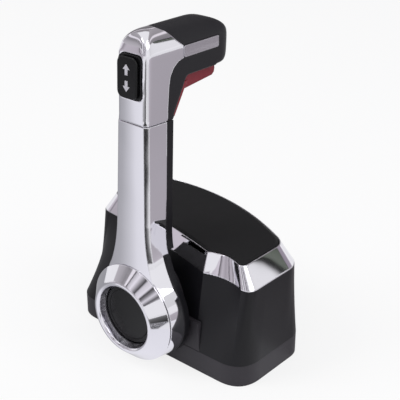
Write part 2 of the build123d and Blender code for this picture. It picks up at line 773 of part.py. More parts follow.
with BuildPart() as hub_plate:
    with BuildSketch(arm_plane(seam_back - 12)):
        add(arm_outline(44, arm_half_root, arm_half_seam))
    extrude(amount=40)
    with BuildSketch(across(-hub_back)):
        with Locations((0, pivot_height)):
            Circle(plate_radius)
    extrude(amount=-(hub_back - plate_back))
    with BuildSketch(across(-hub_back)):
        Rectangle(200, 600)
    extrude(amount=40, mode=Mode.SUBTRACT)
    with BuildSketch(across(-plate_back)):
        Rectangle(200, 600)
    extrude(amount=-40, mode=Mode.SUBTRACT)
    with BuildSketch(across(0)):
        with Locations((0, pivot_height + plate_reach - seam + 100)):
            Rectangle(200, 200)
    extrude(amount=200, mode=Mode.SUBTRACT)
    with BuildSketch(across(-hub_back)):
        with Locations((0, pivot_height)):
            Circle(gate_sleeve + 2 * sliding)
    extrude(amount=-20, mode=Mode.SUBTRACT)
finish(hub_plate, "hub_plate")

rod_offset = 73.0
rod_radius = 2.0
rib_reaches = (74.0, 138.0)
with BuildPart() as rear_cover:
    with BuildSketch(arm_plane(cover_back_seam)):
        add(arm_outline(44, arm_half_root - 0.4, arm_half_seam - 0.2))
    extrude(amount=20)
    with BuildSketch(arm_side):
        with BuildLine():
            Polyline((arm_back, -10), (arm_back, swell_reach), (seam_back, seam_reach), (seam_back, seam_reach + 10),
                     (arm_front, seam_reach + 10), (arm_front, -10), (arm_back, -10))
        make_face()
    extrude(amount=60, both=True, mode=Mode.SUBTRACT)
    with BuildSketch(arm_side):
        with BuildLine():
            Polyline((rear_cover_back, -10), (rear_cover_back, swell_reach), (cover_back_seam, seam_reach),
                     (40, seam_reach), (40, -10), (rear_cover_back, -10))
        make_face()
    extrude(amount=60, both=True, mode=Mode.SUBTRACT)
    split(bisect_by=arm_section(plate_reach + seam), keep=Keep.TOP)
    for reach in rib_reaches:
        with BuildSketch(arm_section(reach)):
            with Locations((0, -(rear_cover_back + rod_offset + 4) / 2)):
                Rectangle(16, rod_offset + 4 - rear_cover_back)
            with Locations((0, -rod_offset)):
                Circle(rod_radius + sliding, mode=Mode.SUBTRACT)
        extrude(amount=4)
finish(rear_cover, "rear_cover")

with BuildPart() as hub_bezel:
    with BuildSketch(Plane(origin=(0, 0, pivot_height), x_dir=(0, 1, 0), z_dir=(1, 0, 0))):
        with BuildLine():
            Polyline((-web_front - 0.2, 34), (-web_front - 0.2, hub_radius - hub_wall - seam),
                     (-hub_front, hub_radius - hub_wall - seam), (-hub_front, rim_radius), (-rim_front, rim_radius),
                     (-lip_crest + 0.6, lip_radius))
            ThreePointArc((-lip_crest + 0.6, lip_radius), (-lip_crest, lip_radius - 2.2),
                          (-lip_crest + 1.6, button_radius + 1.8))
            Polyline((-lip_crest + 1.6, button_radius + 1.8), (-button_face - 1.4, button_radius + sliding),
                     (-nut_front - 1, button_radius + sliding), (-web_front - 0.2, 34))
        make_face()
    revolve(axis=Axis((0, 0, pivot_height), (0, 1, 0)))
finish(hub_bezel, "hub_bezel")

skirt_radius = 24.0
with BuildPart() as hub_button:
    with BuildSketch(Plane(origin=(0, 0, pivot_height), x_dir=(0, 1, 0), z_dir=(1, 0, 0))):
        with BuildLine():
            Polyline((-button_face, 0), (-button_face, 21.4), (-button_face + 0.5, 21.7), (-button_face + 0.5, 22.3),
                     (-button_face, 22.6), (-button_face, button_radius - 0.8), (-button_face + 0.8, button_radius),
                     (-button_face + button_thickness, button_radius), (-button_face + button_thickness, skirt_radius),
                     (-web_front - button_travel - 0.8, skirt_radius), (-web_front - button_travel - 0.8, skirt_radius - 2),
                     (-button_face + button_thickness, skirt_radius - 2), (-button_face + button_thickness, 0),
                     (-button_face, 0))
        make_face()
    revolve(axis=Axis((0, 0, pivot_height), (0, 1, 0)))
finish(hub_button, "hub_button")

coil("button_spring", (0, 0, pivot_height), (0, -1, 0), web_front + 0.1, button_face - button_thickness - 0.1,
     17.0, 0.6, 2)

# ================================================================ handle
head_round_height = 262.0
gusset_foot = (-51.2, 211.0)
inner_corner = (-33.0, 236.0)
arch_foot = pivot_height + seam_reach - 18


def seam_point(offset, reach=seam_reach):
    """A point of the side view, from its distances in the arm's own directions."""
    return (reach * sin(tilt) - offset * cos(tilt), pivot_height + reach * cos(tilt) + offset * sin(tilt))


def handle_form():
    """Outer form of the whole handle: its side view, front view and section up the arm together."""
    front_foot = seam_point(arm_front)
    front_top = seam_point(arm_front, 211.0)
    back_foot = seam_point(cover_back_seam)
    with BuildPart() as form:
        with BuildSketch(upright_side):
            with BuildLine():
                Line(front_foot, front_top)
                Bezier(front_top, (front_top[0] + 0.8, grip_top), (front_top[0] + 20, grip_top + 1))
                Line((front_top[0] + 20, grip_top + 1), (-22, grip_top + 1))
                Bezier((-22, grip_top + 1), (-5, grip_top), (7, grip_top - 4.5))
                Bezier((7, grip_top - 4.5), (grip_end - 3, grip_top - 9), (grip_end, grip_top - 22))
                Bezier((grip_end, grip_top - 22), (grip_end, grip_bottom + 1), (grip_end - 11, grip_bottom))
                Line((grip_end - 11, grip_bottom), (inner_corner[0] + 5, grip_bottom))
                Bezier((inner_corner[0] + 5, grip_bottom), (inner_corner[0] + 2, grip_bottom), inner_corner)
                Line(inner_corner, back_foot)
                Line(back_foot, front_foot)
            make_face()
        extrude(amount=grip_half_width + 5, both=True)
        with BuildSketch(arm_section(seam_reach - 10)):
            with BuildLine():
                Polyline((grip_half_width, 0), (grip_half_width, -arm_crease), (grip_half_width - chamfer, -arm_front),
                         (chamfer - grip_half_width, -arm_front), (-grip_half_width, -arm_crease), (-grip_half_width, 0))
                Bezier((-grip_half_width, 0), (-grip_half_width, grip_end - 8.5), (0, grip_end - 9))
                Bezier((0, grip_end - 9), (grip_half_width, grip_end - 8.5), (grip_half_width, 0))
            make_face()
        extrude(amount=100, mode=Mode.INTERSECT)
        with BuildSketch(across(-120)):
            with BuildLine():
                Polyline((-grip_half_width, head_round_height), (-grip_half_width, arch_foot),
                         (grip_half_width, arch_foot), (grip_half_width, head_round_height))
                EllipticalCenterArc((0, head_round_height), grip_half_width, grip_top - head_round_height, 0, arc_size=180)
            make_face()
        extrude(amount=-200, mode=Mode.INTERSECT)
    return form.part


def side_cut(points, half_width):
    """A prism across the handle with the given upright side view."""
    with BuildPart() as prism:
        with BuildSketch(upright_side):
            with BuildLine():
                Polyline(*points, close=True)
            make_face()
        extrude(amount=half_width, both=True)
    return prism.part


strip_low = 256.6
strip_high = 265.6
strip_end = 6.3
trigger_top = 241.2
paddle_lap = 1.5            # how far the paddle reaches up into the grip at rest
parting = [(-53.2, 208), (-52.6, 222), (-51.2, 237), (-49.6, 245), (-46.0, 250.8), (-40.6, 254.8), (-34.0, strip_low),
           (-34.0, strip_high), (-40.6, 271.0), (-47.0, 278.0), (-57.0, 284.0)]
head_side = parting + [(-100, 300), (-100, 208)]
grip_side = parting + [(60, 300), (60, 208)]

# The trigger: a paddle under the grip and a leg that runs down inside the gusset to the rod.
paddle_end = 7.6
paddle = [(paddle_end - 0.4, trigger_top + paddle_lap), (paddle_end, 237.8), (6.9, 234.8), (4.6, 232.8),
          (-27.0, 229.6), (-31.0, 229.6), (-33.4, 231.6), (-36.0, trigger_top + paddle_lap)]
leg = [(-33.2, 234.0), (-45.5, 211.6), (-68.8, 211.6), (-68.8, 216.0), (-51.8, 216.0), (-38.0, 240.0), (-33.2, 240.0)]
leg_half_width = 4.0


room_top = trigger_top + paddle_lap + trigger_travel + sliding + 0.1
with BuildPart() as trigger_room:
    add(side_cut([(paddle_end + sliding, 228), (-36 - 2 * sliding, 228), (-36 - 2 * sliding, room_top),
                  (paddle_end + sliding, room_top)], trigger_half_width + sliding))
    add(side_cut([(-30.0, 226), (-44.0, 204), (-69.4, 204), (-69.4, 221.6), (-52.6, 221.6), (-38.6, 247.2),
                  (-30.0, 247.2)], leg_half_width + sliding))

switch_reach = 196.6
switch_width = 23.6
switch_length = 34.0
bezel_wall = 2.2
bezel_proud = 1.4
pocket_floor = 72.0


def hourglass(width, length, waist=1.2, corner=6.0):
    """Rounded oblong with slightly hollow long sides."""
    w, h = width / 2, length / 2
    with BuildLine() as outline:
        Bezier((w, h - corner), (w, h), (w - corner, h))
        Line((w - corner, h), (corner - w, h))
        Bezier((corner - w, h), (-w, h), (-w, h - corner))
        Bezier((-w, h - corner), (waist - w, 0), (-w, corner - h))
        Bezier((-w, corner - h), (-w, -h), (corner - w, -h))
        Line((corner - w, -h), (w - corner, -h))
        Bezier((w - corner, -h), (w, -h), (w, corner - h))
        Bezier((w, corner - h), (w - waist, 0), (w, h - corner))
    return Pos(0, switch_reach) * (Sketch() + make_face(outline.edges(), mode=Mode.PRIVATE))


with BuildPart() as handle_head:
    add(handle_form())
    add(side_cut(head_side, 40), mode=Mode.INTERSECT)
    with BuildSketch(arm_plane(pocket_floor)):
        add(hourglass(switch_width - 2 * bezel_wall + 0.6, switch_length - 2 * bezel_wall + 0.6))
    extrude(amount=30, mode=Mode.SUBTRACT)
    with BuildSketch(arm_plane(arm_front - 2)):
        add(hourglass(switch_width, switch_length))
    extrude(amount=30, mode=Mode.SUBTRACT)
    add(trigger_room.part, mode=Mode.SUBTRACT)
finish(handle_head, "handle_head")

with BuildPart() as grip:
    add(handle_form())
    add(side_cut(grip_side, 40), mode=Mode.INTERSECT)
    add(trigger_room.part, mode=Mode.SUBTRACT)
    with BuildSketch(Plane(origin=(grip_half_width - 1.4, 0, 0), x_dir=(0, 1, 0), z_dir=(1, 0, 0))):
        with Locations(((strip_end - 34) / 2, (strip_low + strip_high) / 2)):
            Rectangle(34 + strip_end, strip_high - strip_low)
    extrude(amount=10, mode=Mode.SUBTRACT)
    with BuildSketch(Plane(origin=(1.4 - grip_half_width, 0, 0), x_dir=(0, 1, 0), z_dir=(1, 0, 0))):
        with Locations(((strip_end - 34) / 2, (strip_low + strip_high) / 2)):
            Rectangle(34 + strip_end, strip_high - strip_low)
    extrude(amount=-10, mode=Mode.SUBTRACT)
finish(grip, "grip")

with BuildPart() as grip_strips:
    for side in (-1, 1):
        with BuildSketch(Plane(origin=(side * (grip_half_width - 1.4), 0, 0), x_dir=(0, 1, 0), z_dir=(1, 0, 0))):
            with Locations(((strip_end - 34) / 2, (strip_low + strip_high) / 2)):
                RectangleRounded(34 + strip_end, strip_high - strip_low, 1.5)
        extrude(amount=side * 1.7)
finish(grip_strips, "grip_strips")

with BuildPart() as lock_trigger:
    add(side_cut(paddle, trigger_half_width))
    add(side_cut(leg, leg_half_width))
    with BuildSketch(arm_section(seam_reach - 10)):
        with Locations((0, -rod_offset)):
            Circle(rod_radius)
    extrude(amount=40, mode=Mode.SUBTRACT)
finish(lock_trigger, "lock_trigger")

pin_radius = 2.6
pin_length = 12.0
pin_reach = (gate_radius + sliding + 0.1 - (rod_offset - pin_radius) * sin(tilt)) / cos(tilt)
rod_overlap = 5.0           # length of the rod inside the pin
rod_top_reach = 164.5
with BuildPart() as lock_pin:
    with BuildSketch(arm_section(pin_reach)):
        with Locations((0, -rod_offset)):
            Circle(pin_radius)
    extrude(amount=pin_length)
    with BuildSketch(arm_section(pin_reach + pin_length - rod_overlap)):
        with Locations((0, -rod_offset)):
            Circle(rod_radius)
    extrude(amount=8, mode=Mode.SUBTRACT)
finish(lock_pin, "lock_pin")

with BuildPart() as lock_rod:
    with BuildSketch(arm_section(pin_reach + pin_length - rod_overlap)):
        with Locations((0, -rod_offset)):
            Circle(rod_radius)
    extrude(amount=rod_top_reach - pin_reach - pin_length + rod_overlap)
finish(lock_rod, "lock_rod")

collar_reach = 92.0
with BuildPart() as rod_collar:
    with BuildSketch(arm_section(collar_reach)):
        with Locations((0, -rod_offset)):
            Circle(rod_radius + 2.4)
            Circle(rod_radius, mode=Mode.SUBTRACT)
    extrude(amount=3)
finish(rod_collar, "rod_collar")

spring_foot = Vector(0, collar_reach * sin(tilt) - rod_offset * cos(tilt),
                     pivot_height + collar_reach * cos(tilt) + rod_offset * sin(tilt))
coil("lock_spring", spring_foot, (0, sin(tilt), cos(tilt)), 3.1, rib_reaches[1] - collar_reach - 0.1, 3.0, 0.5, 4)

# ================================================================ trim switch
rocker_gap = 0.4
rocker_length = 27.8
rocker_face = 86.2
rocker_back = 80.5
rocker_pin = 80.9
with BuildPart() as switch_bezel:
    with BuildSketch(arm_plane(arm_front - 2)):
        add(hourglass(switch_width - 0.1, switch_length - 0.1))
        add(hourglass(switch_width - 2 * bezel_wall, switch_length - 2 * bezel_wall), mode=Mode.SUBTRACT)
    extrude(amount=2 + bezel_proud)
finish(switch_bezel, "switch_bezel")

with BuildPart() as trim_rocker:
    with BuildSketch(arm_plane(rocker_back)):
        add(hourglass(switch_width - 2 * bezel_wall - 2 * rocker_gap, rocker_length))
    extrude(amount=rocker_face - rocker_back)
    with BuildSketch(arm_plane(rocker_back)):
        with Locations((0, switch_reach)):
            Rectangle(15, 22)
    extrude(amount=3, mode=Mode.SUBTRACT)
    with BuildSketch(arm_plane(rocker_pin - 1.9)):
        with Locations((0, switch_reach)):
            Rectangle(5, 5)
    extrude(amount=rocker_back + 3 - rocker_pin + 1.9)
    with BuildSketch(Plane(origin=(-10, 0, 0), x_dir=(0, 1, 0), z_dir=(1, 0, 0))):
        with Locations(seam_point(rocker_pin, switch_reach)):
            Circle(1.0 + running)
    extrude(amount=20, mode=Mode.SUBTRACT)
finish(trim_rocker, "trim_rocker")

with BuildPart() as switch_body:
    with BuildSketch(arm_plane(pocket_floor)):
        with Locations((0, switch_reach)):
            RectangleRounded(15.5, 25, 1)
    extrude(amount=5.6)
    with BuildSketch(arm_plane(pocket_floor)):
        with Locations((-5.2, switch_reach), (5.2, switch_reach)):
            Rectangle(2.6, 5)
    extrude(amount=rocker_pin + 1.8 - pocket_floor)
    with BuildSketch(Plane(origin=(-10, 0, 0), x_dir=(0, 1, 0), z_dir=(1, 0, 0))):
        with Locations(seam_point(rocker_pin, switch_reach)):
            Circle(1.0)
    extrude(amount=20, mode=Mode.SUBTRACT)
finish(switch_body, "switch_body")

with BuildPart() as rocker_hinge_pin:
    with BuildSketch(Plane(origin=(-6.5, 0, 0), x_dir=(0, 1, 0), z_dir=(1, 0, 0))):
        with Locations(seam_point(rocker_pin, switch_reach)):
            Circle(1.0)
    extrude(amount=13)
finish(rocker_hinge_pin, "rocker_hinge_pin")
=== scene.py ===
# %% [markdown]
# # A boat's throttle and shift lever
#
# The solid parts come from the CAD model.  Here they get their finishes: bright plating,
# satin black mouldings, a soft grip and a red trigger.  Thin marks and rounded edges, which
# catch the light on the real control, are modelled or made with modifiers.

# %% Frame and CAD parts
import json
import math

import bmesh
import bpy
from mathutils import Matrix, Vector


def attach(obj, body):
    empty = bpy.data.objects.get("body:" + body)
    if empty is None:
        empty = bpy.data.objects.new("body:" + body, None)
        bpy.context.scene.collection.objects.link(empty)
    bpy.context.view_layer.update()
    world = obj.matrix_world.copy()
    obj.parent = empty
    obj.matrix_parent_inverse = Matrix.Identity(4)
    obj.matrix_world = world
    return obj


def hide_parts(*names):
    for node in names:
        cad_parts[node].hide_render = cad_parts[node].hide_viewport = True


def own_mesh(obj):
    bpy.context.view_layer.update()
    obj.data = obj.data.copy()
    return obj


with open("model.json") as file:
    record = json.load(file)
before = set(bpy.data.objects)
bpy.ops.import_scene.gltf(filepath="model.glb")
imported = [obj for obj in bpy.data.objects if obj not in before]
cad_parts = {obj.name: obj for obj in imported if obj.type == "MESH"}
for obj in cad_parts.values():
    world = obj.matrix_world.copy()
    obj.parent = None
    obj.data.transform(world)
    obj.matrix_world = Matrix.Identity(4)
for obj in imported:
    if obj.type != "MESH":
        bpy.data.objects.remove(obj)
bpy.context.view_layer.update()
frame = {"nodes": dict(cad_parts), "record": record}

nodes = frame["nodes"]
print("CAD nodes:", len(nodes))

# %% [markdown]
# ## Camera
#
# The camera stands aft of the port side and above the housing.  Its long lens keeps the
# upright lines of the lever nearly parallel, as in a catalogue picture.

# %% Camera
camera_back = Vector((0.5927, -0.6818, 0.4289)).normalized()
camera_target = Vector((-0.044, 0.0528, 0.088))
camera_distance = 0.880
camera_lens = 85.2

camera_data = bpy.data.cameras.new("studio_camera")
camera_data.lens = camera_lens
camera_data.sensor_width = 36
camera = bpy.data.objects.new("studio_camera", camera_data)
camera.location = camera_target + camera_back * camera_distance
camera.rotation_mode = "QUATERNION"
camera.rotation_quaternion = (-camera_back).to_track_quat("-Z", "Y")
bpy.context.collection.objects.link(camera)
bpy.context.scene.camera = camera
bpy.context.scene.view_settings.view_transform = "Standard"
print("camera", tuple(round(value, 3) for value in camera.location))

# %% [markdown]
# ## Material helpers
#
# Every finish here starts from the same Principled shader.  A helper makes it and sets the
# values that are the same all over.  Other helpers add what varies: a noise that changes
# the roughness a little, as handling and moulding do, and a bump for grain.

# %% Material helpers
def new_finish(name, colour, roughness, metallic=0.0, **sockets):
    """A Principled material with plain values on its sockets."""
    material = bpy.data.materials.new(name)
    material.use_nodes = True
    shader = material.node_tree.nodes["Principled BSDF"]
    shader.inputs["Base Color"].default_value = (*colour, 1)
    shader.inputs["Roughness"].default_value = roughness
    shader.inputs["Metallic"].default_value = metallic
    for socket, value in sockets.items():
        shader.inputs[socket.replace("_", " ")].default_value = value
    return material, shader


def noise_on(material, scale, detail=4.0, stretch=(1, 1, 1)):
    """A noise on Object coordinates, in features per metre."""
    tree = material.node_tree
    place = tree.nodes.new("ShaderNodeTexCoord")
    mapping = tree.nodes.new("ShaderNodeMapping")
    mapping.inputs["Scale"].default_value = stretch
    noise = tree.nodes.new("ShaderNodeTexNoise")
    noise.inputs["Scale"].default_value = scale
    noise.inputs["Detail"].default_value = detail
    tree.links.new(place.outputs["Object"], mapping.inputs["Vector"])
    tree.links.new(mapping.outputs["Vector"], noise.inputs["Vector"])
    return noise.outputs["Fac"]


def spread(material, value, low, high, start=0.3, end=0.7):
    """Spreads a noise value over a range."""
    tree = material.node_tree
    spreader = tree.nodes.new("ShaderNodeMapRange")
    spreader.inputs["From Min"].default_value = start
    spreader.inputs["From Max"].default_value = end
    spreader.inputs["To Min"].default_value = low
    spreader.inputs["To Max"].default_value = high
    tree.links.new(value, spreader.inputs["Value"])
    return spreader.outputs["Result"]


def tint_between(material, value, dark, light):
    """A colour that runs from dark to light as the value goes from 0 to 1."""
    tree = material.node_tree
    ramp = tree.nodes.new("ShaderNodeValToRGB")
    ramp.color_ramp.elements[0].color = (*dark, 1)
    ramp.color_ramp.elements[1].color = (*light, 1)
    tree.links.new(value, ramp.inputs["Fac"])
    return ramp.outputs["Color"]


def bump_from(material, shader, value, strength, distance, edge=0.0005):
    """A bump of a given height in metres, on edges that look rounded."""
    tree = material.node_tree
    rounding = tree.nodes.new("ShaderNodeBevel")
    rounding.samples = 6
    rounding.inputs["Radius"].default_value = edge
    bump = tree.nodes.new("ShaderNodeBump")
    tree.links.new(rounding.outputs["Normal"], bump.inputs["Normal"])
    bump.inputs["Strength"].default_value = strength
    bump.inputs["Distance"].default_value = distance
    tree.links.new(value, bump.inputs["Height"])
    tree.links.new(bump.outputs["Normal"], shader.inputs["Normal"])


def link(material, value, shader, socket):
    """Feeds one socket of the shader."""
    material.node_tree.links.new(value, shader.inputs[socket])


# %% [markdown]
# ## Bright plating
#
# Chrome plate is a mirror with a slightly cool tint.  What tells it from a perfect mirror
# is a very shallow waviness of the casting below and a faint haze from wiping, so the
# roughness and a low, broad bump vary slowly.

# %% Bright plating
def bright_plating():
    """Polished chrome over a casting."""
    material, shader = new_finish("bright_plating", (0.77, 0.76, 0.81), 0.035, metallic=1.0)
    haze = noise_on(material, 38, 5)
    link(material, spread(material, haze, 0.02, 0.055), shader, "Roughness")
    link(material, tint_between(material, haze, (0.75, 0.74, 0.79), (0.79, 0.78, 0.83)), shader, "Base Color")
    wave = noise_on(material, 26, 1)
    bump_from(material, shader, wave, 0.25, 0.0002, edge=0.0012)
    return material


# %% [markdown]
# ## Mouldings
#
# The covers are moulded in black plastic with a fine spark-eroded texture.  Two noises do
# this: a fine one for the texture's bump and a broad one for the sheen, which changes
# where hands and cloths touch.

# %% Mouldings
def moulding(name, colour, roughness, grain, depth, sheen_change=0.06, **sockets):
    """A moulded plastic with a fine texture."""
    material, shader = new_finish(name, colour, roughness, **sockets)
    broad = noise_on(material, 22, 4)
    fine = noise_on(material, grain, 3)
    sheen = spread(material, broad, roughness - sheen_change, roughness + sheen_change)
    link(material, sheen, shader, "Roughness")
    dark = tuple(channel * 0.88 for channel in colour)
    light = tuple(channel * 1.12 for channel in colour)
    link(material, tint_between(material, broad, dark, light), shader, "Base Color")
    bump_from(material, shader, fine, 0.5, depth)
    return material


# %% [markdown]
# ## Bare metals
#
# The inner steel and bronze pieces show only through gaps and from below.  Turned and
# rolled metal has fine lines along one direction, so the noise is stretched.

# %% Bare metals
def worked_metal(name, colour, roughness, stretch, relief=0.00004):
    """Metal with fine lines along one direction."""
    material, shader = new_finish(name, colour, roughness, metallic=1.0)
    lines = noise_on(material, 240, 4, stretch)
    link(material, spread(material, lines, roughness - 0.08, roughness + 0.10), shader, "Roughness")
    dark = tuple(channel * 0.85 for channel in colour)
    link(material, tint_between(material, lines, dark, colour), shader, "Base Color")
    bump_from(material, shader, lines, 0.2, relief)
    return material


# %% [markdown]
# ## One finish for each material slot
#
# The record names a slot for every node.  The table below gives each slot its finish.

# %% Finishes by slot
finishes = {
    "chrome": bright_plating(),
    "cover_black": moulding("cover_plastic", (0.0075, 0.0072, 0.0095), 0.36, 1500, 0.00003,
                            Specular_IOR_Level=0.22),
    "panel_black": moulding("panel_plastic", (0.0085, 0.0085, 0.0095), 0.58, 1100, 0.00008,
                            Specular_IOR_Level=0.16),
    "base_grey": moulding("base_plastic", (0.036, 0.033, 0.039), 0.46, 1300, 0.00005,
                          Specular_IOR_Level=0.22),
    "grip_black": moulding("grip_rubber", (0.0115, 0.011, 0.014), 0.44, 1600, 0.00005,
                           Specular_IOR_Level=0.25),
    "strip_satin": worked_metal("satin_strip", (0.64, 0.625, 0.67), 0.22, (1, 0.05, 1), 0.000006),
    "trigger_red": moulding("trigger_plastic", (0.20, 0.020, 0.030), 0.34, 1500, 0.00003,
                            Specular_IOR_Level=0.3),
    "switch_black": moulding("switch_plastic", (0.0055, 0.0055, 0.0065), 0.30, 1700, 0.00003,
                             Specular_IOR_Level=0.2),
    "switch_inner": moulding("switch_case_plastic", (0.05, 0.05, 0.06), 0.5, 1200, 0.00004),
    "steel": worked_metal("zinc_plated_steel", (0.56, 0.56, 0.58), 0.34, (1, 0.1, 1)),
    "bush_bronze": worked_metal("sintered_bronze", (0.62, 0.45, 0.24), 0.42, (1, 1, 1)),
    "inner_plastic": moulding("acetal_plastic", (0.75, 0.74, 0.70), 0.4, 900, 0.00004),
    "seal_rubber": moulding("seal_rubber", (0.03, 0.03, 0.03), 0.75, 800, 0.00008),
}
slot_of_node = {row["node"]: row["material_slot"] for row in frame["record"]["subparts"]}
for name, node in nodes.items():
    node.data.materials.clear()
    node.data.materials.append(finishes[slot_of_node[name]])
print("finishes:", len(finishes))

# %% [markdown]
# ## Rocker cap and its arrows
#
# The rocker raises and lowers the engine.  Its cap is a waisted pillow that stands out of
# the bezel: a box with its upright edges and then its front rim bevelled, drawn in at the
# waist.  Two printed arrows say which end does which: flat faces with seven corners, given
# a hair of thickness.  A matrix places what is drawn on the arm: across it, up it and out
# from the pivot plane.

# %% Rocker cap and its arrows
arm_lean = math.radians(2.58)
pivot_height = 0.048
rocker_reach = 0.1966
cap_face = 0.0893
arrow_rise = 0.0062
on_arm = Matrix(((1, 0, 0, 0),
                 (0, math.sin(arm_lean), -math.cos(arm_lean), 0),
                 (0, math.cos(arm_lean), math.sin(arm_lean), pivot_height),
                 (0, 0, 0, 1)))


def finished_piece(name, shape, material, body):
    """Turns a bmesh into a piece that rides on a body."""
    mesh = bpy.data.meshes.new(name)
    shape.to_mesh(mesh)
    shape.free()
    mesh.materials.append(material)
    piece = bpy.data.objects.new(name, mesh)
    bpy.context.collection.objects.link(piece)
    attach(piece, body)
    return piece


cap_corner = 0.006
cap_waist = 0.08
# Half width, half length, back, front and edge rounding of the cap's neck and of its head.
cap_layers = ((0.0091, 0.0138, 0.0858, 0.0880, 0.0004), (0.0106, 0.0158, 0.0878, cap_face, 0.0011))
cap = bmesh.new()
for half_width, half_length, back, front, rounding in cap_layers:
    block = bmesh.new()
    bmesh.ops.create_cube(block, size=1)
    bmesh.ops.scale(block, vec=(2 * half_width, 2 * half_length, front - back), verts=block.verts)
    upright = [e for e in block.edges if abs(e.verts[0].co.z - e.verts[1].co.z) > 0.001]
    bmesh.ops.bevel(block, geom=upright, offset=cap_corner, segments=7, profile=0.5, affect="EDGES",
                    material=-1)
    rim = [e for e in block.edges if all(v.co.z > 0 for v in e.verts)]
    bmesh.ops.bevel(block, geom=rim, offset=rounding, segments=4, profile=0.5, affect="EDGES", material=-1)
    for corner in block.verts:
        corner.co.x *= 1 - cap_waist * (1 - (corner.co.y / half_length) ** 2)
    bmesh.ops.translate(block, vec=(0, rocker_reach, (front + back) / 2), verts=block.verts)
    layer = bpy.data.meshes.new("cap_layer")
    block.to_mesh(layer)
    block.free()
    cap.from_mesh(layer)
    bpy.data.meshes.remove(layer)
bmesh.ops.transform(cap, matrix=on_arm, verts=cap.verts)
for face in cap.faces:
    face.smooth = True
rocker_cap = finished_piece("rocker_cap", cap, finishes["switch_black"], "trim_switch")
rocker_cap.data.set_sharp_from_angle(angle=math.radians(40))

arrow_foot, arrow_neck, arrow_tip = -0.0041, 0.0002, 0.0044
stem_half, head_half = 0.0015, 0.0036
print_thickness = 0.00012
mark_finish = moulding("mark_print", (0.50, 0.485, 0.53), 0.45, 1400, 0.00002)
for name, way in (("arrow_up", 1), ("arrow_down", -1)):
    arrow = bmesh.new()
    outline = [(-stem_half, arrow_foot), (stem_half, arrow_foot), (stem_half, arrow_neck),
               (head_half, arrow_neck), (0, arrow_tip), (-head_half, arrow_neck), (-stem_half, arrow_neck)]
    corners = [arrow.verts.new((across, up, 0)) for across, up in outline]
    arrow.faces.new(corners)
    lifted = bmesh.ops.extrude_face_region(arrow, geom=arrow.faces[:])
    front_corners = [v for v in lifted["geom"] if isinstance(v, bmesh.types.BMVert)]
    bmesh.ops.translate(arrow, vec=(0, 0, print_thickness), verts=front_corners)
    if way < 0:
        bmesh.ops.rotate(arrow, matrix=Matrix.Rotation(math.pi, 3, "Z"), verts=arrow.verts)
    bmesh.ops.translate(arrow, vec=(0, rocker_reach + way * arrow_rise, cap_face), verts=arrow.verts)
    bmesh.ops.transform(arrow, matrix=on_arm, verts=arrow.verts)
    bmesh.ops.recalc_face_normals(arrow, faces=arrow.faces)
    finished_piece(name, arrow, mark_finish, "trim_switch")
print("arrows at", rocker_reach, "up the arm")

# %% [markdown]
# ## Back plate of the trigger
#
# Fingers pull the red trigger up from inside the loop of the handle.  Behind the paddle it
# runs down the gusset as a broad plate, which shows as a thin red line beside the black
# rubber.  It is a four-cornered side view given its width, with its edges bevelled.

# %% Back plate of the trigger
plate_side = [(-0.0288, 0.2372), (-0.0440, 0.2120), (-0.0466, 0.2129), (-0.0345, 0.2372)]
plate_half_width = 0.0144
plate_gap = 0.0003
plate_edge = 0.0004


def side_view(corners, half_width):
    """A side view given its width across the handle."""
    shape = bmesh.new()
    face = shape.faces.new([shape.verts.new((-half_width, y, z)) for y, z in corners])
    grown = bmesh.ops.extrude_face_region(shape, geom=[face])
    far_side = [v for v in grown["geom"] if isinstance(v, bmesh.types.BMVert)]
    bmesh.ops.translate(shape, vec=(2 * half_width, 0, 0), verts=far_side)
    bmesh.ops.recalc_face_normals(shape, faces=shape.faces)
    return shape


plate = side_view(plate_side, plate_half_width)
bmesh.ops.bevel(plate, geom=plate.edges[:], offset=plate_edge, segments=2, profile=0.5, affect="EDGES",
                material=-1)
finished_piece("trigger_plate", plate, finishes["trigger_red"], "neutral_lock")
print("trigger plate", 2 * plate_half_width, "m wide")

# %% [markdown]
# ## The two springs
#
# Two springs shorten when a joint moves: the one behind the hub button and the one over
# the lock rod.  Here each is a copy of its CAD coil, with its doubled points merged and
# smooth shading, that rides on the lever in place of the CAD node and keeps its length.

# %% The two springs
def closing_spring(node, way):
    """A smooth-shaded copy of a CAD coil that rides on the lever in place of the node; the way is normalised
    but not used.
    """
    shape = bmesh.new()
    shape.from_mesh(nodes[node].data)
    bmesh.ops.remove_doubles(shape, verts=shape.verts, dist=0.00001)
    for face in shape.faces:
        face.smooth = True
    way = Vector(way).normalized()
    slot = slot_of_node[node]
    spring = finished_piece(node + "_coil", shape, finishes[slot], "lever")
    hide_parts(node)
    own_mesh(spring)


up_the_arm = (0, math.sin(arm_lean), math.cos(arm_lean))
closing_spring("button_spring", (0, 1, 0))
closing_spring("lock_spring", up_the_arm)

# %% [markdown]
# ## A handle with melted edges
#
# The handle is cast and polished, then its rear half is covered with rubber, and the two
# meet without a step.  The CAD solids have crisp edges where their side and front views
# cross.  Here both solids are joined, rebuilt as an even skin of small faces and relaxed,
# which rounds the edges as polishing does.  What must stay crisp is left out of the
# relaxing: the seam to the arm, the switch's pocket, the recesses of the strips and the
# room of the trigger.  Then the skin is cut along the parting line, and the rooms in which
# the trigger and its plate move are cut to their exact size.

